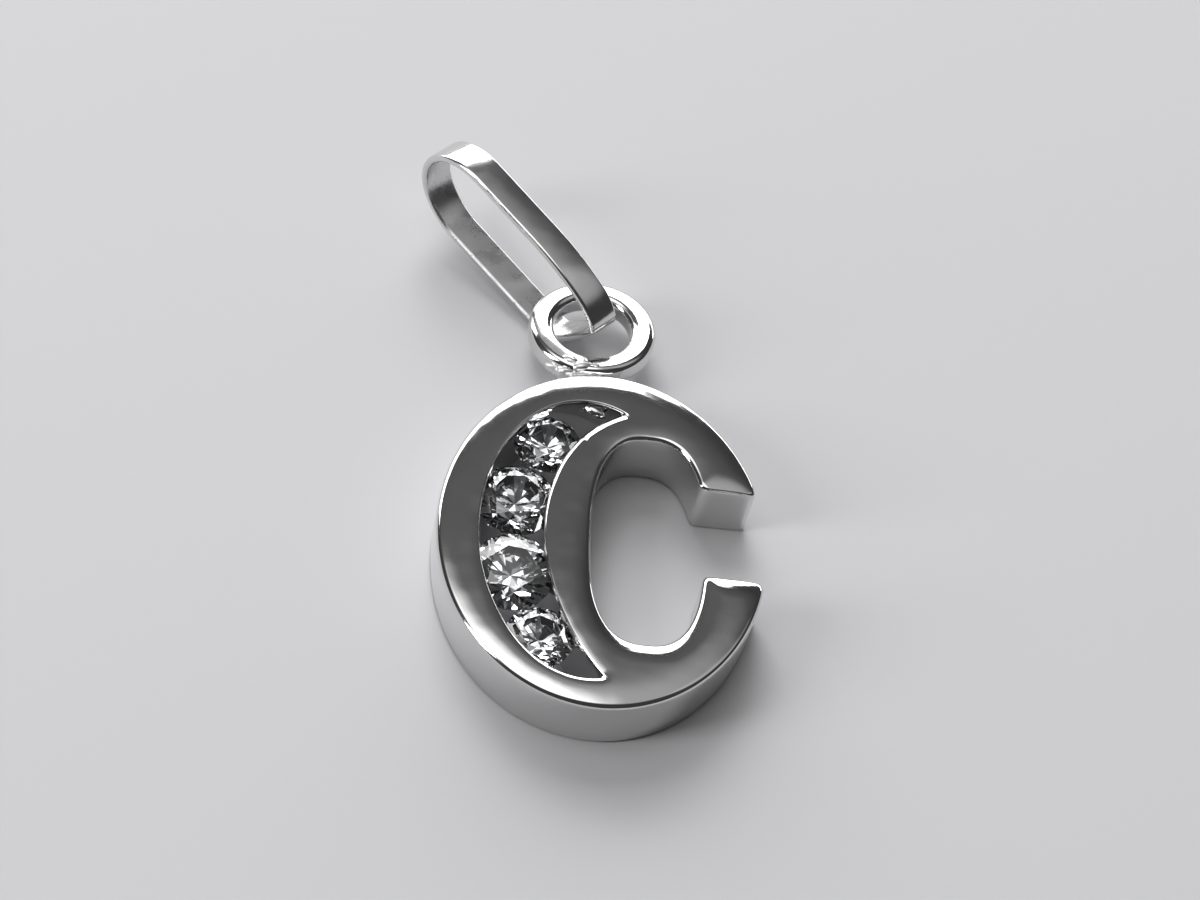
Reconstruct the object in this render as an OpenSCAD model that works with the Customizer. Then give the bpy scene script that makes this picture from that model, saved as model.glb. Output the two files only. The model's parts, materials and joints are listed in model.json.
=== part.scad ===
// Initial pendant: a letter C with a crescent window of four channel-set round stones,
// a jump ring soldered to its top edge, and a loop bail of flat strip through the ring.
// It lies on its flat back: +Z points out of the letter's face, +Y to its top. The origin
// is on the back, in the middle of the bar between the window and the open middle.

/* [Letter] */
// Width of the letter
letter_w = 8; // [7.5:0.25:9.5]
// Height of the letter
letter_h = 9.5; // [9:0.25:12]
// Thickness from the flat back to the face
letter_t = 1.7; // [1.6:0.1:2.4]
// Radius of the rounded shoulder between the face and the walls
shoulder_r = 0.14; // [0.1:0.02:0.36]
// Width of the open middle of the letter
counter_w = 2.75; // [2:0.25:3.25]
// Height of the open middle of the letter
counter_h = 5.8; // [5:0.2:6.6]
// Squareness of the open middle, where 2 is an ellipse
counter_square = 2.6; // [2:0.1:3.5]
// Metal between the window and the open middle, at mid height
bar_w = 1.14; // [0.8:0.02:1.5]
// Height of the mouth between the two arms
mouth_h = 2.44; // [1.6:0.02:3.2]
// Height of the middle of the mouth above the middle of the letter
mouth_lift = 0.4; // [0:0.1:0.8]

/* [Window] */
// Metal outside the window, at its left
rim_w = 1.03; // [0.85:0.01:1.15]
// Metal above and below the window
rim_end = 0.87; // [0.8:0.01:1.1]
// Distance of the window's middle below the letter's middle
window_drop = 0.08; // [0:0.02:0.14]
// Half width of the curve that the window's outer edge follows
outer_bow = 2.585; // [2.4:0.005:2.8]
// Lean of that curve to the left, in degrees
outer_lean = 2; // [0:0.5:4]
// Width of the window at its middle
window_w = 1.53; // [1.45:0.01:1.6]
// Half width of the leaning curve that the window's inner edge follows
inner_bow = 3.57; // [3.4:0.01:3.8]
// Half height of that curve
inner_rise = 4.83; // [4.6:0.01:5.1]
// Lean of that curve to the left, in degrees
inner_lean = 22; // [18:0.5:24]
// Distance of that curve's middle below the letter's middle
inner_drop = 0.83; // [0.6:0.01:1]
// Rounded edge where the face turns down into the window
lip_r = 0.1; // [0.05:0.01:0.16]

/* [Stones] */
// Diameter of the two main stones
main_d = 2; // [1.9:0.02:2.04]
// Diameter of the two end stones
end_d = 1.65; // [1.5:0.05:1.75]
// Gap between one stone and the next
stone_gap = 0.05; // [0.03:0.01:0.08]
// Half width of the curve on which the stones stand
row_bow = 2.44; // [2.3:0.02:2.6]
// Half height of the curve on which the stones stand
row_half_h = 3.73; // [3.6:0.01:3.9]
// Depth of the girdles below the letter's face
girdle_depth = 0.42; // [0.38:0.02:0.6]
// Lean of the lower main stone towards the letter's foot, in degrees
third_lean = 7; // [0:1:8]
// Clearance between a stone and its seat
seat_gap = 0.03; // [0.02:0.01:0.05]
// Table width as a share of a stone's diameter
table_share = 0.56; // [0.5:0.01:0.65]
// Slope of the crown's main facets in degrees
crown_angle = 33; // [28:1:36]
// Slope of the pavilion's main facets in degrees
pavilion_angle = 41; // [38:1:42]
// Height of the girdle as a share of a stone's diameter
girdle_share = 0.03; // [0.02:0.01:0.05]

/* [Jump ring] */
// Diameter of the ring's wire
ring_wire = 0.63; // [0.5:0.01:0.65]
// Diameter across the inside of the ring
ring_bore = 1.96; // [1.9:0.02:2.3]
// Place of the ring left of the letter's middle
ring_left = 0.37; // [0:0.01:0.5]
// Gap between the ring and the letter that the solder fills
solder_gap = 0.2; // [0.1:0.02:0.3]
// Width of the solder where it meets the letter
solder_w = 0.8; // [0.6:0.05:1.1]

/* [Bail] */
// Length of the loop down its middle line
bail_l = 6.2; // [5.5:0.05:7.5]
// Distance between the middles of the loop's two legs
bail_depth = 2.6; // [2.5:0.05:3]
// Width of the strip along its legs
bail_w = 0.84; // [0.7:0.02:1]
// Width of the strip at the loop's top
bail_top_w = 0.9; // [0.7:0.05:1]
// Thickness of the strip
bail_t = 0.2; // [0.15:0.01:0.24]
// Length of the loop's lower end along its front leg
bail_foot_l = 2.65; // [2.2:0.05:2.8]
// Length of the loop's lower end along its back leg
bail_heel_l = 1.3; // [1:0.05:1.6]
// Length of the rounded upper end of the loop
bail_head_l = 1.5; // [1.4:0.1:2.2]
// Distance of the loop's lowest bend in front of its middle line
bail_foot_shift = 0.43; // [0.3:0.01:0.5]
// Direction in which the bail lies, counted from the letter's right
bail_heading = 135.4; // [125:0.2:145]
// Angle at which the loop rises from its foot to its head
bail_rise = 7.8; // [6:0.2:9]
// Turn of the loop about its own length
bail_roll = -1.4; // [-3:0.2:2]
// Place of the bail's lower end right of the ring's middle
bail_seat_x = 0.15; // [0.1:0.01:0.2]
// Place of the bail's lower end below the ring's middle
bail_seat_y = 0.28; // [0.2:0.01:0.32]

/* [Hidden] */
$fn = 64;
SILVER = [0.80, 0.80, 0.82];
CRYSTAL = [0.90, 0.94, 0.98];

// Points along the letter's curves, the crescent and a shoulder
CURVE_STEPS = 84;
CRESCENT_STEPS = 40;
SHOULDER_STEPS = 5;
// Points along a quarter of the bail's loop
BAIL_STEPS = 14;
// Chamfer along the strip's edges
strip_edge = 0.04;
// Depth by which joined metal runs into its neighbour
JOIN = 0.12;
// Small rounding at the edge of the flat back
back_r = 0.08;
// Share of an edge left out at each end of the crescent, so that its ends are blunt
END_CUT = 0.006;

letter_a = letter_w / 2;
letter_b = letter_h / 2;
mouth_top = mouth_lift + mouth_h / 2;
mouth_bottom = mouth_lift - mouth_h / 2;
window_left = -letter_a + rim_w;
window_right = window_left + window_w;
window_b = letter_b - rim_end;
counter_x = window_right + bar_w + counter_w / 2;
bar_x = window_right + bar_w / 2;
girdle_z = letter_t - girdle_depth;
ring_r = (ring_bore + ring_wire) / 2;
ring_base_y = letter_b * sqrt(1 - pow(ring_left / letter_a, 2));
ring_y = ring_base_y + solder_gap + ring_wire / 2 + ring_r;
ring_z = letter_t / 2 + 0.03;

// A point of an ellipse-like curve with half widths a and b at direction t
function oval(a, b, t, power = 2) = [
    a * sign(cos(t)) * pow(abs(cos(t)), 2 / power),
    b * sign(sin(t)) * pow(abs(sin(t)), 2 / power)
];

// Direction at which such a curve reaches height y
function oval_at(b, y, power = 2) = asin(sign(y) * pow(abs(y) / b, power / 2));

// The letter's outline, drawn in from its walls by inset: its outer curve and then its
// open middle, both from the upper arm's end round the left side to the lower arm's end
function outline(inset) =
    let (
        a = letter_a - inset,
        b = letter_b - inset,
        ca = counter_w / 2 + inset,
        cb = counter_h / 2 + inset,
        top = mouth_top + inset,
        bottom = mouth_bottom - inset,
        outer_from = oval_at(b, top),
        outer_to = 360 + oval_at(b, bottom),
        inner_from = oval_at(cb, top, counter_square),
        inner_to = 360 + oval_at(cb, bottom, counter_square)
    )
    concat(
        [for (i = [0:CURVE_STEPS]) oval(a, b, outer_from + (outer_to - outer_from) * i / CURVE_STEPS)],
        [for (i = [0:CURVE_STEPS])
            [counter_x, 0] + oval(ca, cb, inner_from + (inner_to - inner_from) * i / CURVE_STEPS,
                                  counter_square)]
    );

// How far an ellipse with half widths a and b reaches sideways when it leans
function reach(a, b, lean) = norm([a * cos(lean), b * sin(lean)]);

// A point of a leaning ellipse whose left side touches x, at direction t
function leaning(x, y, a, b, lean, t) = [
    x + reach(a, b, lean) + a * cos(lean) * cos(t) - b * sin(lean) * sin(t),
    y + a * sin(lean) * cos(t) + b * cos(lean) * sin(t)
];

// Direction of point p on or near such an ellipse, and how far out it lies, where 1 is on it
function leaning_at(x, y, a, b, lean, p) =
    let (
        q = p - [x + reach(a, b, lean), y],
        u = (q[0] * cos(lean) + q[1] * sin(lean)) / a,
        v = (q[1] * cos(lean) - q[0] * sin(lean)) / b
    )
    [atan2(v, u), norm([u, v])];

function outer_edge(grow, t) =
    leaning(window_left - grow, -window_drop, outer_bow + grow, window_b + grow, outer_lean, t);
function inner_edge(grow, t) =
    leaning(window_right + grow, -inner_drop, inner_bow - grow, inner_rise - grow, inner_lean, t);
function inner_edge_at(grow, p) =
    leaning_at(window_right + grow, -inner_drop, inner_bow - grow, inner_rise - grow, inner_lean, p);

// Direction on the outer edge, from low towards high, at which the inner edge crosses it
function crossing(grow, low, high, tries = 30) =
    let (middle = (low + high) / 2)
    tries == 0 ? middle :
    inner_edge_at(grow, outer_edge(grow, middle))[1] > 1
        ? crossing(grow, middle, high, tries - 1)
        : crossing(grow, low, middle, tries - 1);

// The crescent's outline, widened on every side by grow: its outer edge and then its
// inner edge, both from the upper end to the lower end
function crescent(grow) =
    let (
        from = crossing(grow, 180, 60),
        to = crossing(grow, 180, 300),
        inner_from = inner_edge_at(grow, outer_edge(grow, from))[0],
        inner_to = 360 + inner_edge_at(grow, outer_edge(grow, to))[0],
        shares = [for (i = [0:CRESCENT_STEPS]) END_CUT + (1 - 2 * END_CUT) * i / CRESCENT_STEPS]
    )
    concat(
        [for (s = shares) outer_edge(grow, from + (to - from) * s)],
        [for (s = shares) inner_edge(grow, inner_from + (inner_to - inner_from) * s)]
    );

// A point at direction t of the curve on which the stones stand
function row(t) =
    [(window_left + window_right) / 2 + row_bow * (1 + cos(t)), -window_drop + row_half_h * sin(t)];

// A solid through a stack of outlines, each made of two edges that run side by side
module loft(outlines, heights) {
    n = len(outlines[0]);
    h = n / 2;
    last = len(outlines) - 1;
    points = [for (k = [0:last], p = outlines[k]) [p[0], p[1], heights[k]]];
    round = concat([for (i = [0:h - 1]) i], [for (i = [n - 1:-1:h]) i]);
    sides = [for (k = [0:last - 1], i = [0:n - 1])
        let (a = round[i], b = round[(i + 1) % n])
        [k * n + a, (k + 1) * n + a, (k + 1) * n + b, k * n + b]];
    bottom = [for (i = [0:h - 2]) [i, i + 1, h + i + 1, h + i]];
    top = [for (q = bottom) [for (k = [3:-1:0]) last * n + q[k]]];
    polyhedron(points = points, faces = concat(sides, bottom, top), convexity = 8);
}

// The solid C: flat back, straight walls and a rounded shoulder up to the face
module letter_body() {
    turns = [for (k = [0:SHOULDER_STEPS]) 90 * k / SHOULDER_STEPS];
    loft(
        concat([outline(back_r), outline(0)], [for (t = turns) outline(shoulder_r * (1 - cos(t)))]),
        concat([0, back_r], [for (t = turns) letter_t - shoulder_r + shoulder_r * sin(t)])
    );
}

// The crescent opening, flared at the face by the lip's rounding
module window_cut() {
    turns = [for (k = [0:3]) 30 * k];
    over = 0.1;
    loft(
        concat([crescent(0)], [for (t = turns) crescent(lip_r * (1 - cos(t)))], [crescent(lip_r)]),
        concat([-over], [for (t = turns) letter_t - lip_r + lip_r * sin(t)], [letter_t + over])
    );
}

// Direction on the row's curve, from low towards high, at which it lies far from start
function row_step(start, far, low, high, tries = 30) =
    let (middle = (low + high) / 2)
    tries == 0 ? middle :
    norm(row(middle) - start) < far
        ? row_step(start, far, middle, high, tries - 1)
        : row_step(start, far, low, middle, tries - 1);

// The stones along the row, from the top: their diameters, directions and leans
main_turn = asin((main_d + stone_gap) / 2 / row_half_h);
end_turn = row_step(row(180 - main_turn), (main_d + end_d) / 2 + stone_gap, 180 - main_turn, 90);
stone_d = [end_d, main_d, main_d, end_d];
stone_turn = [end_turn, 180 - main_turn, 180 + main_turn, 360 - end_turn];
stone_lean = [0, 0, third_lean, 0];

function table_r(d) = d * table_share / 2;
function crown_h(d) = (d / 2 - table_r(d)) * tan(crown_angle);
function pavilion_h(d) = d / 2 * tan(pavilion_angle);

// One ring of count points at radius r and height z, turned by turn
function facet_ring(count, r, z, turn = 0) =
    [for (i = [0:count - 1]) [r * cos(360 * i / count + turn), r * sin(360 * i / count + turn), z]];

// A round brilliant: table, 8 stars, 8 kites and 16 halves above the girdle,
// 16 halves and 8 main facets below it
module brilliant(d) {
    r = d / 2;
    rim = girdle_share * d / 2;
    star_r = (table_r(d) * cos(22.5) + r) / 2;
    star_z = rim + (r - star_r * cos(22.5)) * tan(crown_angle);
    low_r = r * 0.24;
    low_z = -rim - (r - low_r * cos(22.5)) * tan(pavilion_angle);
    points = concat(
        facet_ring(8, table_r(d), rim + crown_h(d)),
        facet_ring(8, star_r, star_z, 22.5),
        facet_ring(16, r, rim),
        facet_ring(16, r, -rim),
        facet_ring(8, low_r, low_z, 22.5),
        [[0, 0, -rim - pavilion_h(d)]]
    );
    star = 8;
    upper = 16;
    lower = 32;
    low = 48;
    tip = 56;
    faces = concat(
        [[for (i = [7:-1:0]) i]],
        [for (i = [0:7]) [i, (i + 1) % 8, star + i]],
        [for (i = [0:7]) [i, star + i, upper + 2 * i, star + (i + 7) % 8]],
        [for (i = [0:7]) [star + i, upper + 2 * i + 1, upper + 2 * i]],
        [for (i = [0:7]) [star + i, upper + (2 * i + 2) % 16, upper + 2 * i + 1]],
        [for (i = [0:15]) [upper + i, upper + (i + 1) % 16, lower + (i + 1) % 16, lower + i]],
        [for (i = [0:7]) [low + i, lower + 2 * i, lower + 2 * i + 1]],
        [for (i = [0:7]) [low + i, lower + 2 * i + 1, lower + (2 * i + 2) % 16]],
        [for (i = [0:7]) [tip, low + (i + 7) % 8, lower + 2 * i, low + i]]
    );
    polyhedron(points = points, faces = faces);
}

// The space that a stone's seat takes out of the metal
module seat_cut(d) {
    r = d / 2 + seat_gap;
    rim = girdle_share * d / 2 + seat_gap;
    rotate_extrude()
        polygon([
            [0, -rim - r * tan(pavilion_angle)],
            [r, -rim],
            [r, rim],
            [table_r(d), rim + (r - table_r(d)) * tan(crown_angle)],
            [0, rim + (r - table_r(d)) * tan(crown_angle)]
        ]);
}

// Everything is drawn from the letter's middle and stands from the middle of the bar
module from_bar() {
    translate([-bar_x, 0, 0]) children();
}

module at_stone(i) {
    place = row(stone_turn[i]);
    translate([place[0], place[1], girdle_z]) rotate([stone_lean[i], 0, 0]) children();
}

module stone(i) {
    color(CRYSTAL) from_bar() at_stone(i) rotate(stone_turn[i]) brilliant(stone_d[i]);
}

module jump_ring() {
    translate([-ring_left, ring_y, ring_z])
        rotate_extrude()
            translate([ring_r, 0]) circle(d = ring_wire);
}

// The solder between the letter's top edge and the ring
module solder() {
    translate([-ring_left, ring_base_y - JOIN, ring_z])
        rotate([-90, 0, 0])
            cylinder(h = solder_gap + ring_wire / 2 + JOIN, d1 = solder_w, d2 = ring_wire);
}

module letter() {
    color(SILVER) from_bar() {
        difference() {
            letter_body();
            window_cut();
            for (i = [0:3]) at_stone(i) seat_cut(stone_d[i]);
        }
        jump_ring();
        solder();
    }
}

// A quarter of the loop's middle line: length and height at turn t, from its end
function loop_point(q, t) =
    let (
        half = bail_depth / 2,
        foot = bail_foot_shift,
        head_x = bail_l - bail_head_l
    )
    q == 0 ? [bail_foot_l * (1 - cos(t)), foot + (half - foot) * sin(t)] :
    q == 1 ? [head_x + bail_head_l * sin(t), half * cos(t)] :
    q == 2 ? [head_x + bail_head_l * cos(t), -half * sin(t)] :
             [bail_heel_l * (1 - t / 90), foot - (half + foot) * cos(t)];

loop = [for (q = [0:3], i = [0:BAIL_STEPS - 1]) loop_point(q, 90 * i / BAIL_STEPS)];

// The loop's outward direction at its point i
function loop_normal(i) =
    let (
        n = len(loop),
        d = loop[(i + 1) % n] - loop[(i + n - 1) % n]
    )
    [-d[1], d[0]] / norm(d);

// Width of the strip at length x along the loop
function strip_w(x) = bail_w - (bail_w - bail_top_w) * pow(max(0, 2 * x / bail_l - 1), 2);

// The strip's section as steps across its width and its thickness
function strip_section(w) =
    let (
        u = w / 2,
        v = bail_t / 2,
        e = strip_edge
    )
    [[u - e, v], [u, v - e], [u, e - v], [u - e, -v], [e - u, -v], [-u, e - v], [-u, v - e], [e - u, v]];

bail_along = [cos(bail_rise) * cos(bail_heading), cos(bail_rise) * sin(bail_heading), sin(bail_rise)];
bail_level = [sin(bail_heading), -cos(bail_heading), 0];
bail_across = cos(bail_roll) * bail_level + sin(bail_roll) * cross(bail_level, bail_along);
bail_up = cross(bail_across, bail_along);

bail_shape = [for (i = [0:len(loop) - 1], s = strip_section(strip_w(loop[i][0])))
    let (p = loop[i] + s[1] * loop_normal(i))
    p[0] * bail_along + p[1] * bail_up + s[0] * bail_across];

// The bail is set down until its lowest point touches the surface
bail_place = [
    -ring_left + bail_seat_x - bail_foot_shift * bail_up[0],
    ring_y - bail_seat_y - bail_foot_shift * bail_up[1],
    -min([for (p = bail_shape) p[2]])
];

module bail() {
    n = len(loop);
    m = 8;
    faces = [for (i = [0:n - 1], k = [0:m - 1])
        let (j = (i + 1) % n, l = (k + 1) % m)
        [i * m + k, j * m + k, j * m + l, i * m + l]];
    color(SILVER) from_bar()
        translate(bail_place)
            polyhedron(points = bail_shape, faces = faces, convexity = 4);
}

letter();
bail();
stone(0);  // stone_1
stone(1);  // stone_2
stone(2);  // stone_3
stone(3);  // stone_4
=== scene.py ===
# %% [markdown]
# # A small silver letter C with four stones
# The object is a pendant about 16 mm high: a cast letter with a crescent window in its thick left
# stroke, a row of stones held between the window's edges, a jump ring soldered to the letter's top,
# and a loop of flat strip, the bail, that hangs through the ring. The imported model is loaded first,
# because its solids fix every size and place. The pieces below only give it finer surfaces.

# %% Load the frame
import bpy
import bmesh
import json
import math
import numpy as np
from mathutils import Matrix, Vector
from mathutils.geometry import delaunay_2d_cdt

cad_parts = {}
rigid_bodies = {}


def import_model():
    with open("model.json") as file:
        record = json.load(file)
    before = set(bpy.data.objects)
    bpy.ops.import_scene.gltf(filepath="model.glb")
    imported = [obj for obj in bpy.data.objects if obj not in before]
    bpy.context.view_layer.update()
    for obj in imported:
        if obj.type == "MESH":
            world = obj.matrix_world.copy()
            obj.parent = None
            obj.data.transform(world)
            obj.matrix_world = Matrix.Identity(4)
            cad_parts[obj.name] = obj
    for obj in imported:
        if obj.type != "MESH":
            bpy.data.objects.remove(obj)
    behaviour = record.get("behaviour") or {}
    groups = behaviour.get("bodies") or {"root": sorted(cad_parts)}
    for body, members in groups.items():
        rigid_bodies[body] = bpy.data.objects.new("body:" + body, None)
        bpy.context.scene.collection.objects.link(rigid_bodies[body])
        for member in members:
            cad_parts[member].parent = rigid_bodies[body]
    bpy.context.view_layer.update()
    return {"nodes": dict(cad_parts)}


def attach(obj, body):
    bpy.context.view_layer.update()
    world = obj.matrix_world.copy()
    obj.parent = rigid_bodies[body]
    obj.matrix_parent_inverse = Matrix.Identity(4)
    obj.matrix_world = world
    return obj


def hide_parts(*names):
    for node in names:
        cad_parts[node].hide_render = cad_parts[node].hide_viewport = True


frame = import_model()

MM = 0.001

# %% [markdown]
# ## Where the camera stands
# The picture looks down on the lying letter from its foot, 36 degrees off the upright, and is turned
# 15 degrees about its own axis. The camera's three directions are written down as they are, because
# a look-at rule would lose the small turn.

# %% The camera
SENSOR_W, FRAME_W, FOCAL_PIXELS = 36, 1200, 3052.75
cam_place = Vector((-7.3808, -40.3606, 61.5990))
cam_right = Vector((0.98794637, 0.02675945, 0.15246605))
cam_up = Vector((-0.10970574, 0.81591608, 0.56766681))
cam_data = bpy.data.cameras.new("camera")
cam_data.sensor_width = SENSOR_W
cam_data.lens = FOCAL_PIXELS / FRAME_W * SENSOR_W
cam_data.clip_start, cam_data.clip_end = 0.001, 10
camera = bpy.data.objects.new("camera", cam_data)
turn = Matrix((cam_right, cam_up, cam_right.cross(cam_up))).transposed()
camera.matrix_world = Matrix.Translation(cam_place * MM) @ turn.to_4x4()
bpy.context.collection.objects.link(camera)
bpy.context.scene.camera = camera
bpy.context.scene.view_settings.view_transform = "Standard"
print("lens", round(cam_data.lens, 2), "mm")

# %% [markdown]
# ## Helpers for meshes, nodes and colours
# Sizes are given in millimetres and turned to metres in one place. One function makes an object from
# a mesh, one turns live modifiers into a plain mesh, one adds a node with its settings and links,
# and one turns a hex colour to linear.

# %% Helpers
def new_object(name, mesh, material):
    mesh.materials.append(material)
    piece = bpy.data.objects.new(name, mesh)
    bpy.context.collection.objects.link(piece)
    return piece


def new_mesh(name, points, faces):
    mesh = bpy.data.meshes.new(name)
    mesh.from_pydata([Vector(p) * MM for p in points], [], faces)
    mesh.validate()
    return mesh


def settle(piece):
    """Keeps what the modifiers make as a plain mesh, and takes them off."""
    bpy.context.view_layer.update()
    made = piece.evaluated_get(bpy.context.evaluated_depsgraph_get())
    plain = bpy.data.meshes.new_from_object(made)
    piece.modifiers.clear()
    piece.data = plain
    print(piece.name, len(plain.polygons), "faces")
    return plain


def add_node(tree, kind, links=None, **settings):
    made = tree.nodes.new(kind)
    for key, value in settings.items():
        setattr(made, key, value)
    for socket, source in (links or {}).items():
        if isinstance(source, bpy.types.NodeSocket):
            tree.links.new(source, made.inputs[socket])
        else:
            made.inputs[socket].default_value = source
    return made


def linear(code):
    parts = [int(code[i:i + 2], 16) / 255 for i in (1, 3, 5)]
    return (*[v / 12.92 if v <= 0.04045 else ((v + 0.055) / 1.055) ** 2.4 for v in parts], 1)


# %% [markdown]
# ## The silver
# The metal is sterling silver, cast and polished on a wheel. A polished face shows its surroundings
# almost as a mirror does, a little blurred by hair-fine wheel marks that all run about one way. One
# flat roughness would look like plastic, so noise stretched along the marks and soft clouds vary it,
# and two bumps bend the reflections. The marks are under 5 micrometres wide on the real piece, too
# fine to show here, so they are drawn 40 micrometres wide or more, and very shallow.

# %% One recipe for every silver finish
CLOUD_W, HOLLOW_W = 1.3, 0.9


def silver(name, roughness, spread, mark_width, mark_depth, mark_turn, hollow_depth,
           tone="#DAD9D9", squeeze=0.06):
    """Widths and depths are in mm, the turn of the marks in degrees; squeeze draws them out."""
    material = bpy.data.materials.new(name)
    material.use_nodes = True
    tree = material.node_tree
    shader = tree.nodes["Principled BSDF"]
    shader.inputs["Base Color"].default_value = linear(tone)
    shader.inputs["Metallic"].default_value = 1
    where = add_node(tree, "ShaderNodeTexCoord")
    lie = add_node(tree, "ShaderNodeMapping", {"Vector": where.outputs["Object"],
                                              "Rotation": (0, 0, math.radians(mark_turn)),
                                              "Scale": (squeeze, 1, 1)})
    marks = add_node(tree, "ShaderNodeTexNoise", {"Vector": lie.outputs["Vector"],
                                                  "Scale": 1 / (mark_width * MM),
                                                  "Detail": 4, "Roughness": 0.6})
    clouds = add_node(tree, "ShaderNodeTexNoise", {"Vector": where.outputs["Object"],
                                                   "Scale": 1 / (CLOUD_W * MM), "Detail": 3})
    both = add_node(tree, "ShaderNodeMath", {0: marks.outputs["Fac"], 1: clouds.outputs["Fac"]},
                    operation="ADD")
    # The sum of the two noises lies about 1, mostly within 0.4 of it.
    rough = add_node(tree, "ShaderNodeMapRange", {"Value": both.outputs["Value"],
                                                  "From Min": 0.6, "From Max": 1.4,
                                                  "To Min": roughness - spread,
                                                  "To Max": roughness + spread})
    tree.links.new(rough.outputs["Result"], shader.inputs["Roughness"])
    # Polishing also leaves hollows half a millimetre wide, too shallow to feel, that bend the light.
    hollows = add_node(tree, "ShaderNodeTexNoise", {"Vector": where.outputs["Object"],
                                                    "Scale": 1 / (HOLLOW_W * MM), "Detail": 1})
    wave = add_node(tree, "ShaderNodeBump", {"Height": hollows.outputs["Fac"],
                                             "Distance": hollow_depth * MM, "Strength": 1.0})
    bump = add_node(tree, "ShaderNodeBump", {"Height": marks.outputs["Fac"],
                                             "Distance": mark_depth * MM, "Strength": 1.0,
                                             "Normal": wave.outputs["Normal"]})
    tree.links.new(bump.outputs["Normal"], shader.inputs["Normal"])
    return material


# %% The finishes
# The letter's face and edges are polished on the wheel: nearly a mirror.
polished = silver("sterling_silver_polished", roughness=0.08, spread=0.02, mark_width=0.04,
                  mark_depth=0.0002, mark_turn=20, hollow_depth=0.01)
# The ring's wire is drawn metal, which sees little of the wheel: its highlights waver.
drawn = silver("sterling_silver_drawn", roughness=0.1, spread=0.04, mark_width=0.09,
               mark_depth=0.0003, mark_turn=60, hollow_depth=0.03)
# The bail's strip is rolled and polished by hand after bending, so its light is softer and mottled.
rolled = silver("sterling_silver_rolled", roughness=0.16, spread=0.05, mark_width=0.08,
                mark_depth=0.0002, mark_turn=45, hollow_depth=0.015)
# Inside the bail and on the solder no wheel reaches: the metal stays cloudy from the pickling bath.
worn = silver("sterling_silver_worn", roughness=0.28, spread=0.1, mark_width=0.3,
              mark_depth=0.0002, mark_turn=110, hollow_depth=0.025, tone="#CFCFCF", squeeze=0.5)
# The back and the seats keep the satin look of the emery paper.
satin = silver("sterling_silver_satin", roughness=0.3, spread=0.08, mark_width=0.05,
               mark_depth=0.001, mark_turn=75, hollow_depth=0.01)

# %% [markdown]
# ## The stones
# The stones are cubic zirconia, cut and polished. It bends light far more than glass (index 2.16),
# which makes the crown's facets flash white or black by turns. The solids already have their flat
# facets, so they stay and only get this material, with a trace of dust and handling in its gloss.

# %% Zirconia
SPECK_W = 0.12
zirconia = bpy.data.materials.new("cubic_zirconia_cut")
zirconia.use_nodes = True
tree = zirconia.node_tree
shader = tree.nodes["Principled BSDF"]
shader.inputs["Base Color"].default_value = linear("#F7F9FC")
shader.inputs["Transmission Weight"].default_value = 1
shader.inputs["IOR"].default_value = 2.16
where = add_node(tree, "ShaderNodeTexCoord")
dust = add_node(tree, "ShaderNodeTexNoise", {"Vector": where.outputs["Object"],
                                             "Scale": 1 / (SPECK_W * MM), "Detail": 4})
film = add_node(tree, "ShaderNodeMapRange", {"Value": dust.outputs["Fac"],
                                             "From Min": 0.55, "From Max": 0.75,
                                             "To Min": 0.0, "To Max": 0.05})
tree.links.new(film.outputs["Result"], shader.inputs["Roughness"])
for name in ("stone_1", "stone_2", "stone_3", "stone_4"):
    for slot in frame["nodes"][name].material_slots:
        slot.material = zirconia
print("materials:", [m.name for m in bpy.data.materials])

# %% [markdown]
# ## The letter's outline
# The outside is an ellipse and the open middle a squarish oval, cut by the mouth on the right. The
# letter could be drawn as a curve and extruded, but its edges need roundings that change along the
# way, so its points come from formulas. They are those of the solid model, so that the finer
# surface lies on it. An inset gives the same line a little further in, for the rounded edge.

# %% The outside, the open middle and the two free ends, in mm from the letter's middle
BAR_X = 0.87
FACE_Z = 1.7
HALF_W, HALF_H = 4.0, 4.75
COUNTER_X, COUNTER_A, COUNTER_B, COUNTER_POWER = 1.075, 1.375, 2.9, 2.6
MOUTH_TOP, MOUTH_BOTTOM = 1.62, -0.82
SHOULDER_R, BACK_R, LIP_R, CORNER_R = 0.11, 0.08, 0.13, 0.13
# The upper free end keeps the edge of the saw: its rounding is only this share of the others.
SAWN = 0.35
END_STEPS = 14


def oval(a, b, t, power=2.0):
    c, s = math.cos(t), math.sin(t)
    return (a * math.copysign(abs(c) ** (2 / power), c), b * math.copysign(abs(s) ** (2 / power), s))


def oval_at(b, y, power=2.0):
    return math.asin(math.copysign((abs(y) / b) ** (power / 2), y))


def straight(p, q, n):
    return [(p[0] + (q[0] - p[0]) * k / n, p[1] + (q[1] - p[1]) * k / n) for k in range(1, n)]


def round_corner(loop, corner, size):
    n, tip = len(loop), loop[corner]
    before = next(k for k in range(1, n) if math.dist(loop[(corner - k) % n], tip) > size)
    after = next(k for k in range(1, n) if math.dist(loop[(corner + k) % n], tip) > size)
    p, q = loop[(corner - before) % n], loop[(corner + after) % n]
    made = list(loop)
    for k in range(1, before + after):
        t = k / (before + after)
        made[(corner - before + k) % n] = tuple(
            (1 - t) ** 2 * p[i] + 2 * t * (1 - t) * tip[i] + t * t * q[i] for i in (0, 1))
    return made


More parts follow.
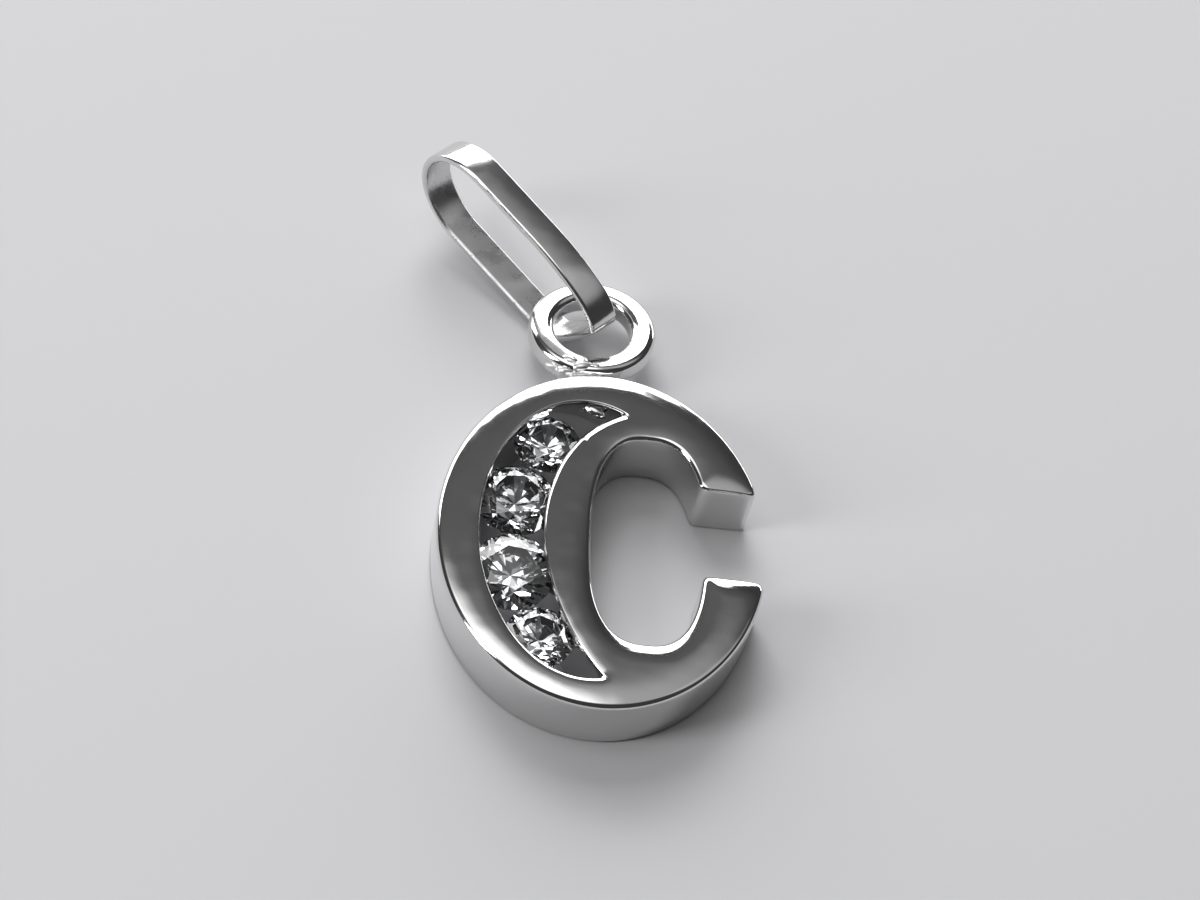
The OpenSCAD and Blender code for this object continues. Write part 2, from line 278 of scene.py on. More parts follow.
def outline(inset, steps=220):
    """The closed line of the letter: outside, lower end, open middle, upper end."""
    top, bottom = MOUTH_TOP + SAWN * inset, MOUTH_BOTTOM - inset
    a, b = HALF_W - inset, HALF_H - inset
    ca, cb = COUNTER_A + inset, COUNTER_B + inset
    o0, o1 = oval_at(b, top), 2 * math.pi + oval_at(b, bottom)
    i0, i1 = oval_at(cb, top, COUNTER_POWER), 2 * math.pi + oval_at(cb, bottom, COUNTER_POWER)
    outer = [oval(a, b, o0 + (o1 - o0) * i / steps) for i in range(steps + 1)]
    inner = [oval(ca, cb, i1 + (i0 - i1) * i / steps, COUNTER_POWER) for i in range(steps + 1)]
    inner = [(x + COUNTER_X, y) for x, y in inner]
    loop = (outer + straight(outer[-1], inner[0], END_STEPS)
            + inner + straight(inner[-1], outer[0], END_STEPS))
    for corner in (0, steps, steps + END_STEPS, 2 * steps + END_STEPS):
        loop = round_corner(loop, corner, CORNER_R)
    return loop


print("outline points:", len(outline(0)))

# %% [markdown]
# ## The window's outline
# The crescent lies between two ellipses that lean by 2 and 22 degrees. Its two tips are where they
# cross, found by halving. Its edges are nearly sharp, apart from the lower end of the left one and
# the upper half of the right one, where the setter's file rounded them.

# %% The crescent between two leaning ellipses
# Each ellipse: its left side and middle height, half width and half height in mm, and its lean.
LEFT_OVAL = (-2.97, -0.08, 2.585, 3.88, math.radians(2))
RIGHT_OVAL = (-1.44, -0.83, 3.57, 4.83, math.radians(22))
# The crescent's sides stop this share of their length short of the tips, which blunts them.
TIP, SIDE = 0.006, 0.988
HALVINGS = 40
# How much of the full rounding each edge has: the least, what is added, and where that happens.
LEFT_LEAST, LEFT_MORE, LEFT_FROM_Y, LEFT_OVER = 0.4, 0.8, -2.5, 1.1
RIGHT_LEAST, RIGHT_MORE, RIGHT_OVER = 0.35, 0.65, 1.5
# Above the groove for the stones the window keeps the wider edge of the casting.
NOTCH_Y, NOTCH_W = 2.78, 0.09


def leaning(shape, wider, t):
    """A point of a leaning ellipse that is wider by a measure all round."""
    x, y, a, b, lean = shape
    x, a, b = x - wider, a + wider, b + wider
    c, s = math.cos(lean), math.sin(lean)
    return (x + math.hypot(a * c, b * s) + a * c * math.cos(t) - b * s * math.sin(t),
            y + a * s * math.cos(t) + b * c * math.sin(t))


def left_share(y):
    return LEFT_LEAST + LEFT_MORE * min(1, max(0, (LEFT_FROM_Y - y) / LEFT_OVER))


def right_share(y):
    return RIGHT_LEAST + RIGHT_MORE * min(1, max(0, y / RIGHT_OVER))


def left_edge(grow, t):
    return leaning(LEFT_OVAL, grow * left_share(leaning(LEFT_OVAL, 0, t)[1]), t)


def right_edge(grow, t):
    return leaning(RIGHT_OVAL, -grow * right_share(leaning(RIGHT_OVAL, 0, t)[1]), t)


def right_edge_at(grow, p):
    """The angle of a point on the right ellipse, and how far out it lies: 1 is on the line."""
    x, y, a, b, lean = RIGHT_OVAL
    grow *= right_share(p[1])
    a, b = a - grow, b - grow
    c, s = math.cos(lean), math.sin(lean)
    x, y = p[0] - x - grow - math.hypot(a * c, b * s), p[1] - y
    u, v = (x * c + y * s) / a, (y * c - x * s) / b
    return math.atan2(v, u), math.hypot(u, v)


def crossing(grow, low, high):
    """The angle at which the left edge meets the right ellipse, between two angles."""
    for _ in range(HALVINGS):
        middle = (low + high) / 2
        if right_edge_at(grow, left_edge(grow, middle))[1] > 1:
            low = middle
        else:
            high = middle
    return low


def crescent(grow, steps=110):
    """The closed line of the window, wider by grow: down the left edge, then up the right one."""
    t0, t1 = crossing(grow, math.pi, math.pi / 3), crossing(grow, math.pi, math.pi * 5 / 3)
    s0 = right_edge_at(grow, left_edge(grow, t0))[0] % (2 * math.pi)
    s1 = right_edge_at(grow, left_edge(grow, t1))[0] % (2 * math.pi)
    left = [left_edge(grow, t0 + (t1 - t0) * (TIP + SIDE * i / steps)) for i in range(steps + 1)]
    right = []
    for i in range(steps + 1):
        t = s1 + (s0 - s1) * (TIP + SIDE * i / steps)
        notch = NOTCH_W * min(1, grow / LIP_R) if right_edge(0, t)[1] > NOTCH_Y else 0
        right.append(right_edge(grow + notch, t))
    return left + right


print("crescent points:", len(crescent(0)))

# %% [markdown]
# ## The letter's face
# A polished casting is never quite flat: the wheel takes more off near the edges, so the face falls
# away a few hundredths of a millimetre towards them, and that is what makes the light grow along the
# lower edges. The fall at a point depends on its distance from each edge, so that is measured first.

# %% How far the face falls near its edges
EDGE_STEPS, CHUNK = 400, 500
CROWN_POWER = 2.5
# The slope at each edge, what the slope gains at the lower or free ends, and how far in the fall
# begins, in mm.
OUT_SLOPE, OUT_REACH = 0.25, 0.86
MIDDLE_SLOPE, MIDDLE_LOWER, MIDDLE_ENDS, MIDDLE_REACH = 0.25, 0.15, 0.1, 0.62
WINDOW_SLOPE, WINDOW_LOWER, WINDOW_REACH = 0.12, 0.08, 0.4
# The gains grow evenly from this height down to minus it, and for a millimetre right of this line.
UPPER_Y, ENDS_X = 2.6, 2


def distance(points, line, closed=True):
    points, line = np.asarray(points), np.asarray(line)
    best = np.full(len(points), 1e9)
    a, b = (line, np.roll(line, -1, axis=0)) if closed else (line[:-1], line[1:])
    ab = b - a
    length = (ab ** 2).sum(1)
    for k in range(0, len(points), CHUNK):
        p = points[k:k + CHUNK, None, :]
        t = np.clip(((p - a) * ab).sum(2) / length, 0, 1)
        gap = p - (a + t[..., None] * ab)
        best[k:k + CHUNK] = np.sqrt((gap ** 2).sum(2).min(1))
    return best


def fall(d, slope, reach):
    share = np.clip(1 - d / reach, 0, 1)
    return slope * reach / CROWN_POWER * share ** CROWN_POWER


walls_edge, window_edge = outline(0, EDGE_STEPS), crescent(0)
outer_side = walls_edge[3:EDGE_STEPS - 2]
inner_side = walls_edge[EDGE_STEPS:] + walls_edge[:1]


def face_fall(points):
    # The wheel bites more at the lower ends of the two openings, and at the letter's two free ends.
    x, y = np.asarray(points).T
    height = np.clip(y / UPPER_Y, -1, 1)
    middle = MIDDLE_SLOPE - MIDDLE_LOWER * height + MIDDLE_ENDS * np.clip(x - ENDS_X, 0, 1)
    window = WINDOW_SLOPE - WINDOW_LOWER * height
    return (fall(distance(points, outer_side, False), OUT_SLOPE, OUT_REACH)
            + fall(distance(points, inner_side, False), middle, MIDDLE_REACH)
            + fall(distance(points, window_edge), window, WINDOW_REACH))


print("fall of the face at three places, in mm:", face_fall([(-3.8, 0), (-0.7, 0), (2.8, -3)]).round(3))

# %% [markdown]
# ## The letter's mesh
# Bevels on a coarse mesh would shade in flat strips. Instead rings of points follow each edge down
# its rounding, an even grid of triangles fills the face between them, and a triangulation joins all.

# %% Rings of points and a grid for the face
STEP, ROW_SHARE, GRID_ROWS, GRID_COLUMNS = 0.085, 0.866, 70, 60
SHOULDER_STEPS, LIP_STEPS = 9, 7
OUT_INSETS, LIP_INSETS = (0.14, 0.18, 0.22, 0.27), (0.155, 0.185, 0.22)


def inside(points, loop):
    x, y = np.asarray(points).T
    a, b = np.asarray(loop), np.roll(np.asarray(loop), -1, axis=0)
    hit = np.zeros(len(x), bool)
    for (x0, y0), (x1, y1) in zip(a, b):
        cross = (y0 > y) != (y1 > y)
        hit ^= cross & (x < (x1 - x0) * (y - y0) / ((y1 - y0) or 1e-12) + x0)
    return hit


def rings(make, radius, count):
    """Lines down a quarter round, each with its depth below the face."""
    turns = [math.pi / 2 * k / count for k in range(count + 1)]
    return [(make(radius * (1 - math.cos(t))), radius * (1 - math.sin(t))) for t in turns]


out_rings = rings(outline, SHOULDER_R, SHOULDER_STEPS) + [(outline(d), 0) for d in OUT_INSETS]
lip_rings = rings(crescent, LIP_R, LIP_STEPS) + [(crescent(d), 0) for d in LIP_INSETS]
last_rings = [out_rings[-1][0], lip_rings[-1][0]]
grid = np.array([(x * STEP + (y % 2) * STEP / 2, y * STEP * ROW_SHARE)
                 for y in range(-GRID_ROWS, GRID_ROWS + 1)
                 for x in range(-GRID_COLUMNS, GRID_COLUMNS + 1)])
grid = grid[inside(grid, last_rings[0]) & ~inside(grid, last_rings[1])]
for ring_line in last_rings:
    grid = grid[distance(grid, ring_line) > 0.5 * STEP]
print("rings:", len(out_rings), "and", len(lip_rings), "grid points:", len(grid))


# %% Triangulate the face and the back
def sheet(loops, grid):
    """Joins closed loops, whose first is the outside, and loose grid points into triangles."""
    points, edges = [], []
    for loop in loops:
        first = len(points)
        points += loop
        edges += [(first + i, first + (i + 1) % len(loop)) for i in range(len(loop))]
    points += grid
    made = delaunay_2d_cdt([Vector(p) for p in points], edges, [], 0, 1e-7)
    places = [tuple(v) for v in made[0]]
    middle = [tuple(sum(places[i][k] for i in f) / 3 for k in (0, 1)) for f in made[2]]
    keep = inside(middle, loops[0])
    for hole in loops[1:]:
        keep &= ~inside(middle, hole)
    return places, [f for f, ok in zip(made[2], keep) if ok]


face_points, face_faces = sheet(last_rings, [tuple(p) for p in grid])
points = [(x, y, FACE_Z - f) for (x, y), f in zip(face_points, face_fall(face_points))]
faces = [tuple(f) for f in face_faces]
back_points, back_faces = sheet([outline(BACK_R), crescent(0)], [])
back_start = len(points)
points += [(x, y, 0) for x, y in back_points]
faces += [tuple(back_start + i for i in reversed(f)) for f in back_faces]
print("triangles on the face:", len(face_faces), "on the back:", len(back_faces))


# %% Walls and rounded edges
def band(loops, turned):
    """Joins a stack of (loop, heights) with quads."""
    count = len(loops[0][0])
    first = len(points)
    for loop, heights in loops:
        points.extend((x, y, z) for (x, y), z in zip(loop, heights))
    for k in range(len(loops) - 1):
        for i in range(count):
            a, b = first + k * count + i, first + k * count + (i + 1) % count
            quad = (a, b, b + count, a + count)
            faces.append(tuple(reversed(quad)) if turned else quad)


def level(loop, z):
    return (loop, [z] * len(loop))


def rounded(ring_list):
    return [(loop, FACE_Z - down - face_fall(loop)) for loop, down in ring_list]


WALL_TOP, WALL_STEPS, HOLE_STEPS = FACE_Z - SHOULDER_R - 0.1, 4, 6
# The back's edge is broken by two small facets, and the window's is left sharp there.
walls = [level(outline(BACK_R), 0), level(outline(BACK_R * 0.3), BACK_R * 0.3), level(outline(0), BACK_R)]
walls += [level(outline(0), BACK_R + (WALL_TOP - BACK_R) * k / WALL_STEPS) for k in range(1, WALL_STEPS)]
band(walls + rounded(out_rings), False)
hole_walls = [level(crescent(0), (FACE_Z - LIP_R) * k / HOLE_STEPS) for k in range(HOLE_STEPS)]
band(hole_walls + rounded(lip_rings), True)
print("points:", len(points), "faces:", len(faces))

# %% Close the body
MERGE = 0.0004
body_mesh = new_mesh("letter_body", [(x + BAR_X, y, z) for x, y, z in points], faces)
work = bmesh.new()
work.from_mesh(body_mesh)
bmesh.ops.remove_doubles(work, verts=work.verts, dist=MERGE * MM)
bmesh.ops.recalc_face_normals(work, faces=work.faces)
open_edges = sum(not e.is_manifold for e in work.edges)
volume = work.calc_volume() / MM ** 3
work.to_mesh(body_mesh)
work.free()
letter = new_object("letter_body", body_mesh, polished)
body_mesh.materials.append(satin)
# The back's faces take the second slot.
for face in body_mesh.polygons:
    if face.center.z < 0.001 * MM:
        face.material_index = 1
print("letter body:", len(body_mesh.polygons), "faces, open edges", open_edges,
      "volume", round(volume, 2), "mm3")

# %% [markdown]
# ## The seats of the stones
# A setter cuts a groove into both walls of the window, just below its edges, and snaps the stones'
# girdles into it. A Boolean with each stone itself would leave no room between stone and metal, so
# each seat is a turned shape a hair wider than its stone, taken out of the body.

# %% Shape the cutters
STONES = [("stone_1", (-1.4054, 2.6820), 1.65, 0), ("stone_2", (-2.1100, 0.9450), 2.0, 0),
          ("stone_3", (-2.1100, -1.1050), 2.0, 7), ("stone_4", (-1.4054, -2.8420), 1.65, 0)]
GIRDLE_Z, SEAT_GAP, SEAT_SIDES = 1.28, 0.03, 72
CROWN_SLOPE, PAVILION_SLOPE = math.radians(33), math.radians(41)
HALF_GIRDLE_SHARE, HALF_TABLE_SHARE = 0.015, 0.28


def seat(name, place, size, lean):
    r, rim = size / 2 + SEAT_GAP, HALF_GIRDLE_SHARE * size + SEAT_GAP
    table = size * HALF_TABLE_SHARE
    crown = rim + (r - table) * math.tan(CROWN_SLOPE)
    profile = [(r, -rim), (r, rim), (table, crown)]
    tips = [(0, 0, -rim - r * math.tan(PAVILION_SLOPE)), (0, 0, crown)]
    n = SEAT_SIDES
    around = [(p[0] * math.cos(2 * math.pi * i / n), p[0] * math.sin(2 * math.pi * i / n), p[1])
              for p in profile for i in range(n)]
    quads = [(k * n + i, k * n + (i + 1) % n, (k + 1) * n + (i + 1) % n, (k + 1) * n + i)
             for k in range(2) for i in range(n)]
    fans = [((i + 1) % n, i, 3 * n) for i in range(n)]
    fans += [(2 * n + i, 2 * n + (i + 1) % n, 3 * n + 1) for i in range(n)]
    tilt = Matrix.Rotation(math.radians(lean), 3, "X")
    shift = Vector((place[0] + BAR_X, place[1], GIRDLE_Z))
    mesh = new_mesh("seat_" + name, [tilt @ Vector(p) + shift for p in around + tips], quads + fans)
    return new_object("seat_" + name, mesh, satin)


cutters = [seat(*stone) for stone in STONES]
print("cutters:", [cutter.name for cutter in cutters])

# %% Cut the seats
SEAT_SHARP_FROM = 32
for cutter in cutters:
    cut = letter.modifiers.new(cutter.name, "BOOLEAN")
    cut.operation, cut.solver, cut.object = "DIFFERENCE", "EXACT", cutter
    cut.material_mode = "TRANSFER"
cut_mesh = settle(letter)
for cutter in cutters:
    bpy.data.objects.remove(cutter)
cut_mesh.shade_smooth()
cut_mesh.set_sharp_from_angle(angle=math.radians(SEAT_SHARP_FROM))
print("slots of the letter with its seats:", [m.name for m in cut_mesh.materials])

# %% [markdown]
# ## The jump ring
# The ring lies over the letter's top edge and leans back by a few degrees, as it was soldered. Its
# wire is a little square from the pliers and the file: this is what gives it the broad white band. A
# torus would be too round for that, so a rounded square is swept along a circle, sheared and tilted,
# from named sizes.

# %% Geometry Nodes helpers
def make_tree(name, sizes):
    tree = bpy.data.node_groups.new(name, "GeometryNodeTree")
    tree.interface.new_socket("Geometry", in_out="INPUT", socket_type="NodeSocketGeometry")
    for label, value in sizes.items():
        kind = "NodeSocketVector" if isinstance(value, tuple) else "NodeSocketFloat"
        socket = tree.interface.new_socket(label, in_out="INPUT", socket_type=kind)
        socket.default_value = value
    tree.interface.new_socket("Geometry", in_out="OUTPUT", socket_type="NodeSocketGeometry")
    return tree, add_node(tree, "NodeGroupInput").outputs


def run_tree(name, tree, sizes, material, start=None):
    """Runs the tree on a start mesh and keeps the plain mesh that it makes."""
    piece = new_object(name, start or bpy.data.meshes.new(name), material)
    live = piece.modifiers.new(tree.name, "NODES")
    live.node_group = tree
    for item in tree.interface.items_tree:
        if item.item_type == "SOCKET" and item.in_out == "INPUT" and item.name in sizes:
            live[item.identifier] = sizes[item.name]
    settle(piece)
    return piece


# %% Sweep the wire
RING_X, RING_Y, RING_Z = BAR_X - 0.37, 6.54, 0.88
RING = {"Ring radius": 1.295 * MM, "Wire width": 0.63 * MM, "Wire rounding": 0.2 * MM,
        "Lean of the section": (-0.04, 0.08, 0.0), "Tilt of the ring": (-0.12, -0.03, 0.0),
        "Place": (RING_X * MM, RING_Y * MM, RING_Z * MM)}
tree, given = make_tree("jump_ring", RING)
path = add_node(tree, "GeometryNodeCurvePrimitiveCircle", {"Resolution": 128,
                                                          "Radius": given["Ring radius"]})
wire = add_node(tree, "GeometryNodeCurvePrimitiveQuadrilateral", {"Width": given["Wire width"],
                                                                 "Height": given["Wire width"]})
wire = add_node(tree, "GeometryNodeFilletCurve", {"Curve": wire.outputs["Curve"], "Count": 10,
                                                 "Radius": given["Wire rounding"]}, mode="POLY")
swept = add_node(tree, "GeometryNodeCurveToMesh", {"Curve": path.outputs["Curve"],
                                                  "Profile Curve": wire.outputs["Curve"]})
print("inputs of the ring's tree:", list(RING))

# %% Shear, tilt and place the ring
# Each section is sheared about the wire's own middle: place minus the nearest point of the circle.
here = add_node(tree, "GeometryNodeInputPosition").outputs["Position"]
flat = add_node(tree, "ShaderNodeVectorMath", {0: here, 1: (1, 1, 0)}, operation="MULTIPLY")
flat = add_node(tree, "ShaderNodeVectorMath", {0: flat.outputs["Vector"]}, operation="NORMALIZE")
flat = add_node(tree, "ShaderNodeVectorMath", {0: flat.outputs["Vector"],
                                               "Scale": given["Ring radius"]}, operation="SCALE")
apart = add_node(tree, "ShaderNodeVectorMath", {0: here, 1: flat.outputs["Vector"]},
                 operation="SUBTRACT")
sink = add_node(tree, "ShaderNodeVectorMath", {0: apart.outputs["Vector"],
                                               1: given["Lean of the section"]},
                operation="DOT_PRODUCT")
sink = add_node(tree, "ShaderNodeMath", {0: sink.outputs["Value"], 1: -1.0}, operation="MULTIPLY")
sink = add_node(tree, "ShaderNodeCombineXYZ", {"Z": sink.outputs["Value"]})
swept = add_node(tree, "GeometryNodeSetPosition", {"Geometry": swept.outputs["Mesh"],
                                                  "Offset": sink.outputs["Vector"]})
placed = add_node(tree, "GeometryNodeTransform", {"Geometry": swept.outputs["Geometry"],
                                                 "Translation": given["Place"],
                                                 "Rotation": given["Tilt of the ring"]})
smooth = add_node(tree, "GeometryNodeSetShadeSmooth", {"Geometry": placed.outputs["Geometry"]})
whole = add_node(tree, "GeometryNodeRealizeInstances", {"Geometry": smooth.outputs["Geometry"]})
dressed = add_node(tree, "GeometryNodeSetMaterial", {"Geometry": whole.outputs["Geometry"],
                                                    "Material": drawn})
add_node(tree, "NodeGroupOutput", {"Geometry": dressed.outputs["Geometry"]})
ring = run_tree("jump_ring", tree, RING, drawn)

# %% [markdown]
# ## Solder and burr
# Silver solder flows between the letter's edge and the ring, creeps along the wire and freezes in
# small lumps. A setter's tool also leaves a rounded burr in the window's upper end. Both could be
# sculpted, but a script repeats drops more easily: ellipsoids are joined by a voxel remesh and
# smoothed, which no turned shape gives.

# %% Melted drops
def drops(name, list_of_drops, grain, rounds, material):
    """Each drop: its middle from the letter's, its three radii, in mm, and its turn in degrees."""
    work = bmesh.new()
    for centre, radii, turn in list_of_drops:
        place = Matrix.Translation(Vector((centre[0] + BAR_X, centre[1], centre[2])) * MM)
        size = Matrix.Diagonal((*[r * MM for r in radii], 1))
        bmesh.ops.create_icosphere(work, subdivisions=4, radius=1,
                                   matrix=place @ Matrix.Rotation(math.radians(turn), 4, "Z") @ size)
    mesh = bpy.data.meshes.new(name)
    work.to_mesh(mesh)
    work.free()
    piece = new_object(name, mesh, material)
    join = piece.modifiers.new("join", "REMESH")
    join.mode, join.voxel_size, join.use_smooth_shade = "VOXEL", grain * MM, True
    soften = piece.modifiers.new("soften", "SMOOTH")
    soften.factor, soften.iterations = 0.5, rounds
    settle(piece).shade_smooth()
    return piece


SOLDER = [((-0.37, 4.93, 0.90), (0.40, 0.34, 0.38), 0), ((-0.66, 4.92, 0.88), (0.30, 0.26, 0.34), 0),
          ((-0.60, 5.18, 1.24), (0.30, 0.17, 0.17), 10), ((-0.92, 5.32, 1.21), (0.30, 0.16, 0.17), -24),
          ((-1.20, 5.42, 1.13), (0.26, 0.14, 0.17), -35), ((-1.26, 5.20, 0.98), (0.34, 0.10, 0.18), -26),
          ((-0.98, 5.08, 1.00), (0.30, 0.15, 0.26), -12), ((-0.28, 5.20, 1.26), (0.16, 0.15, 0.14), 10)]
BURR = [((-0.30, 3.74, 1.40), (0.30, 0.15, 0.15), -28), ((-0.60, 3.90, 1.34), (0.20, 0.12, 0.12), -16)]
solder = drops("solder", SOLDER, grain=0.025, rounds=8, material=worn)
burr = drops("setting_burr", BURR, grain=0.02, rounds=10, material=rolled)

# %% [markdown]
# ## The bail
# A flat strip is bent to a long loop and its ends are closed. The loop's middle line is four curved
# quarters; a rounded strip profile is swept along it, made a little wider at the top, and laid down
# at the angle at which it leans through the ring. A curve with a bevel profile could do it too, but
# Geometry Nodes also widen the strip and give its two sides their finishes from named sizes.

# %% The loop's middle line
# The loop runs along X from its foot in the ring to its head, and is HALF high on either side.
HALF, FOOT, LOOP_L, HEAD_L, FOOT_L, HEEL_L = 1.3, 0.43, 6.2, 1.5, 2.65, 1.3
QUARTER_STEPS = 60


def loop_point(q, t):
    c, s = math.cos(t), math.sin(t)
    head = LOOP_L - HEAD_L
    return [(FOOT_L * (1 - c), FOOT + (HALF - FOOT) * s), (head + HEAD_L * s, HALF * c),
            (head + HEAD_L * c, -HALF * s),
            (HEEL_L * (1 - t / (math.pi / 2)), FOOT - (HALF + FOOT) * c)][q]


loop_line = [loop_point(q, math.pi / 2 * i / QUARTER_STEPS) for q in range(4) for i in range(QUARTER_STEPS)]
loop_mesh = bpy.data.meshes.new("loop_line")
loop_mesh.from_pydata([(x * MM, y * MM, 0) for x, y in loop_line],
                      [(i, (i + 1) % len(loop_line)) for i in range(len(loop_line))], [])
print("loop line:", len(loop_line), "points")

# %% How the loop leans through the ring
RISE, HEADING, ROLL = math.radians(7.8), math.radians(135.4), math.radians(-1.4)
SEAT_X, SEAT_Y = 0.15, 0.28
along = Vector((math.cos(RISE) * math.cos(HEADING), math.cos(RISE) * math.sin(HEADING), math.sin(RISE)))
level_side = Vector((math.sin(HEADING), -math.cos(HEADING), 0))
across = math.cos(ROLL) * level_side + math.sin(ROLL) * level_side.cross(along)
up = across.cross(along)
turned = Matrix((along, up, across)).transposed().to_euler()
start_x = RING_X + SEAT_X - FOOT * up.x
start_y = RING_Y - SEAT_Y - FOOT * up.y
print("foot of the loop at", round(start_x, 2), round(start_y, 2), "mm")

# %% Sweep the strip
STRIP_W, STRIP_TOP_W, STRIP_T, STRIP_EDGE_R = 0.84, 0.90, 0.20, 0.08
BAIL = {"Strip width": STRIP_W * MM, "Widening at the top": STRIP_TOP_W / STRIP_W - 1,
        "Strip thickness": STRIP_T * MM, "Edge radius": STRIP_EDGE_R * MM, "Loop length": LOOP_L * MM,
        "Turn": tuple(turned), "Place": (start_x * MM, start_y * MM, 0.0)}
tree, given = make_tree("bail_strip", BAIL)
line = add_node(tree, "GeometryNodeMeshToCurve", {"Mesh": given["Geometry"]})
line = add_node(tree, "GeometryNodeSetCurveNormal", {"Curve": line.outputs["Curve"]}, mode="Z_UP")
edge = add_node(tree, "GeometryNodeCurvePrimitiveQuadrilateral", {"Width": given["Strip thickness"],
                                                                 "Height": given["Strip width"]})
edge = add_node(tree, "GeometryNodeFilletCurve", {"Curve": edge.outputs["Curve"], "Count": 6,
                                                 "Radius": given["Edge radius"]}, mode="POLY")
swept = add_node(tree, "GeometryNodeCurveToMesh", {"Curve": line.outputs["Curve"],
                                                  "Profile Curve": edge.outputs["Curve"]})
print("inputs of the bail's tree:", list(BAIL))

# %% Widen the strip towards the top
# From half the loop's length on, the width grows with the square of the way to the head.
here = add_node(tree, "GeometryNodeInputPosition").outputs["Position"]
part = add_node(tree, "ShaderNodeSeparateXYZ", {"Vector": here})
share = add_node(tree, "ShaderNodeMath", {0: part.outputs["X"], 1: given["Loop length"]},
                 operation="DIVIDE")
share = add_node(tree, "ShaderNodeMapRange", {"Value": share.outputs["Value"],
                                              "From Min": 0.5, "From Max": 1.0})
share = add_node(tree, "ShaderNodeMath", {0: share.outputs["Result"], 1: 2.0}, operation="POWER")
wider = add_node(tree, "ShaderNodeMath", {0: share.outputs["Value"], 1: given["Widening at the top"]},
                 operation="MULTIPLY")
wider = add_node(tree, "ShaderNodeMath", {0: wider.outputs["Value"], 1: part.outputs["Z"]},
                 operation="MULTIPLY")
wider = add_node(tree, "ShaderNodeCombineXYZ", {"Z": wider.outputs["Value"]})
shaped = add_node(tree, "GeometryNodeSetPosition", {"Geometry": swept.outputs["Mesh"],
                                                   "Offset": wider.outputs["Vector"]})

# %% Give the strip its two finishes and lay it down
STRIP_SHARP_FROM = 40
# The inner face is the one that looks towards the loop's middle.
middle = add_node(tree, "ShaderNodeMath", {0: given["Loop length"], 1: 0.5}, operation="MULTIPLY")
middle = add_node(tree, "ShaderNodeCombineXYZ", {"X": middle.outputs["Value"]})
outward = add_node(tree, "ShaderNodeVectorMath", {0: here, 1: middle.outputs["Vector"]},
                   operation="SUBTRACT")
normal = add_node(tree, "GeometryNodeInputNormal")
facing = add_node(tree, "ShaderNodeVectorMath", {0: outward.outputs["Vector"],
                                                 1: normal.outputs["Normal"]},
                  operation="DOT_PRODUCT")
inner = add_node(tree, "FunctionNodeCompare", {0: facing.outputs["Value"], 1: 0.0},
                 data_type="FLOAT", operation="LESS_THAN")
dressed = add_node(tree, "GeometryNodeSetMaterial", {"Geometry": shaped.outputs["Geometry"],
                                                    "Material": rolled})
dressed = add_node(tree, "GeometryNodeSetMaterial", {"Geometry": dressed.outputs["Geometry"],
                                                    "Selection": inner.outputs["Result"],
                                                    "Material": worn})
placed = add_node(tree, "GeometryNodeTransform", {"Geometry": dressed.outputs["Geometry"],
                                                 "Translation": given["Place"],
                                                 "Rotation": given["Turn"]})
smooth = add_node(tree, "GeometryNodeSetShadeSmooth", {"Geometry": placed.outputs["Geometry"]})
whole = add_node(tree, "GeometryNodeRealizeInstances", {"Geometry": smooth.outputs["Geometry"]})
add_node(tree, "NodeGroupOutput", {"Geometry": whole.outputs["Geometry"]})
bail = run_tree("bail", tree, BAIL, rolled, loop_mesh)
low = min(v.co.z for v in bail.data.vertices)
bail.data.transform(Matrix.Translation((0, 0, -low)))
bail.data.set_sharp_from_angle(angle=math.radians(STRIP_SHARP_FROM))
print("bail slots", [m.name for m in bail.data.materials],
      "lowest point before it was laid down", round(low / MM, 3))

# %% [markdown]
# ## Who stands for what
# The finer pieces take the place of the letter's and the bail's solids, which stay hidden for the
# motion checks. Nothing here has a joint, so all ride on the one body.

# %% Tie the pieces to the solids
for piece in (letter, ring, solder, burr):
    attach(piece, "root")
    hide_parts("letter")
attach(bail, "root")
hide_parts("bail")
print("pieces:", [piece.name for piece in (letter, ring, solder, burr, bail)])

# %% [markdown]
# ## Floor and light
# Polished silver shows the room, so the room is built for what it should show. It is dim, which
# keeps the face grey. A bright wall behind the letter gives the white bands on the edges that face
# away, and soft glows overhead lighten the face, the ring's flat top and the bail's cap. The floor
# is plain and pale.

# %% The floor
FLOOR_HALF, FLOOR_Z = 900, -0.01
corners = [(-FLOOR_HALF, -FLOOR_HALF), (FLOOR_HALF, -FLOOR_HALF),
           (FLOOR_HALF, FLOOR_HALF), (-FLOOR_HALF, FLOOR_HALF)]
floor_mesh = new_mesh("floor", [(x, y, FLOOR_Z) for x, y in corners], [(0, 1, 2, 3)])
paper = bpy.data.materials.new("paper_matt_pale")
paper.use_nodes = True
shader = paper.node_tree.nodes["Principled BSDF"]
shader.inputs["Base Color"].default_value = linear("#BBBBBD")
shader.inputs["Roughness"].default_value = 0.85
shader.inputs["Specular IOR Level"].default_value = 0.1
floor = new_object("floor", floor_mesh, paper)
print("floor half width", FLOOR_HALF, "mm")


# %% The lights
def panel(name, place, aim, wide, high, power, mirrored=True):
    """Places and sizes are in mm, the power in watts."""
    data = bpy.data.lights.new(name, "AREA")
    data.shape, data.size, data.size_y, data.energy = "RECTANGLE", wide * MM, high * MM, power
    lamp = bpy.data.objects.new(name, data)
    lamp.location = Vector(place) * MM
    lamp.rotation_euler = (Vector(aim) - Vector(place)).to_track_quat("-Z", "Y").to_euler()
    lamp.visible_glossy = lamp.visible_transmission = mirrored
    bpy.context.collection.objects.link(lamp)


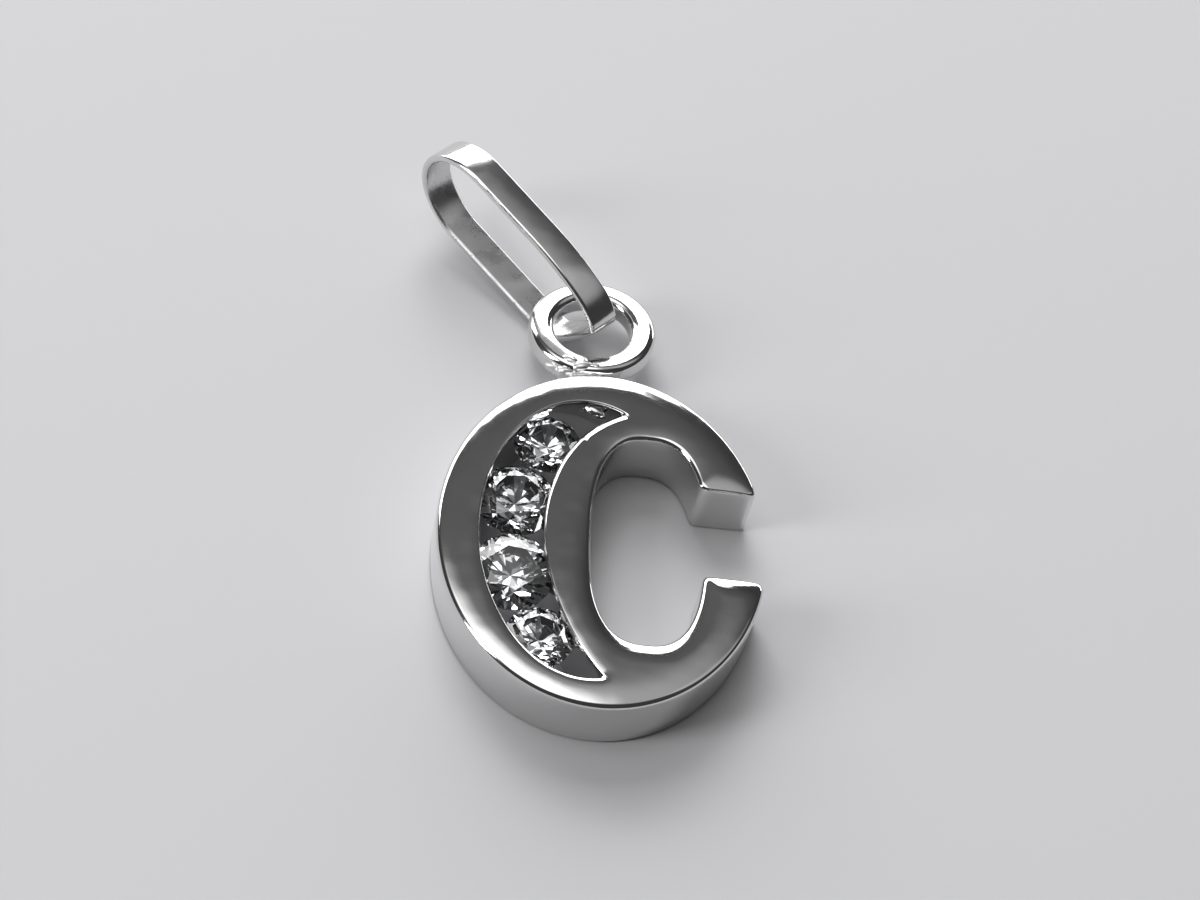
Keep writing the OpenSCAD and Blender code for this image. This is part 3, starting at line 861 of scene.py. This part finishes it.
WALL_Y, STEP_W, STEP_COUNT = 300, 25, 6
FIRST_STEP_X, FIRST_STEP_H, STEP_FALL, STEP_BASE_Z, STEP_POWER = 82.5, 200, 25, 20, 0.32
panel("panel_behind", (-170, WALL_Y, 145), (-170, 0, 145), 480, 250, 1.54)
# Towards the right the bright wall gets lower step by step, so that its picture on the edge thins out.
for k in range(STEP_COUNT):
    high = FIRST_STEP_H - STEP_FALL * k
    x, z = FIRST_STEP_X + STEP_W * k, STEP_BASE_Z + high / 2
    panel(f"panel_step_{k + 1}", (x, WALL_Y, z), (x, 0, z), STEP_W, high, STEP_POWER * high / 1000)
panel("panel_right", (290, WALL_Y, 55), (290, 0, 55), 140, 70, 0.13)
panel("panel_left", (-290, -80, 150), (0, 0, 0), 90, 200, 0.6)
# This one lights the floor and isn't seen in the metal.
panel("floor_light", (-60, 230, 230), (0, 0, 0), 160, 160, 0.6, mirrored=False)

# %% The room
# Each glow: where it stands in the sky, its full and its fading radius in degrees, and its strength.
GLOWS = [((-0.25, 0.06, 0.966), 10, 27, 1.8), ((-0.1, 0.2, 0.97), 12, 45, 0.09),
         ((0.59, 0.1, 0.8), 1, 19, 0.4), ((0.15, 0.15, 0.97), 3, 26, 0.33)]
ROOM_STRENGTH = 0.05
world = bpy.data.worlds.new("tent")
bpy.context.scene.world = world
world.use_nodes = True
tree = world.node_tree
sky = tree.nodes["Background"]
sky.inputs["Color"].default_value = linear("#FFFFFF")
way = add_node(tree, "ShaderNodeTexCoord").outputs["Generated"]
total = ROOM_STRENGTH
for centre, core, reach, strength in GLOWS:
    facing = add_node(tree, "ShaderNodeVectorMath", {0: way, 1: Vector(centre).normalized()},
                      operation="DOT_PRODUCT")
    glow = add_node(tree, "ShaderNodeMapRange", {"Value": facing.outputs["Value"],
                                                "From Min": math.cos(math.radians(reach)),
                                                "From Max": math.cos(math.radians(core)),
                                                "To Min": 0.0, "To Max": strength},
                    interpolation_type="SMOOTHSTEP")
    total = add_node(tree, "ShaderNodeMath", {0: glow.outputs["Result"], 1: total},
                     operation="ADD").outputs["Value"]
tree.links.new(total, sky.inputs["Strength"])
print("glows:", len(GLOWS))

# %% Finish
bpy.context.view_layer.update()
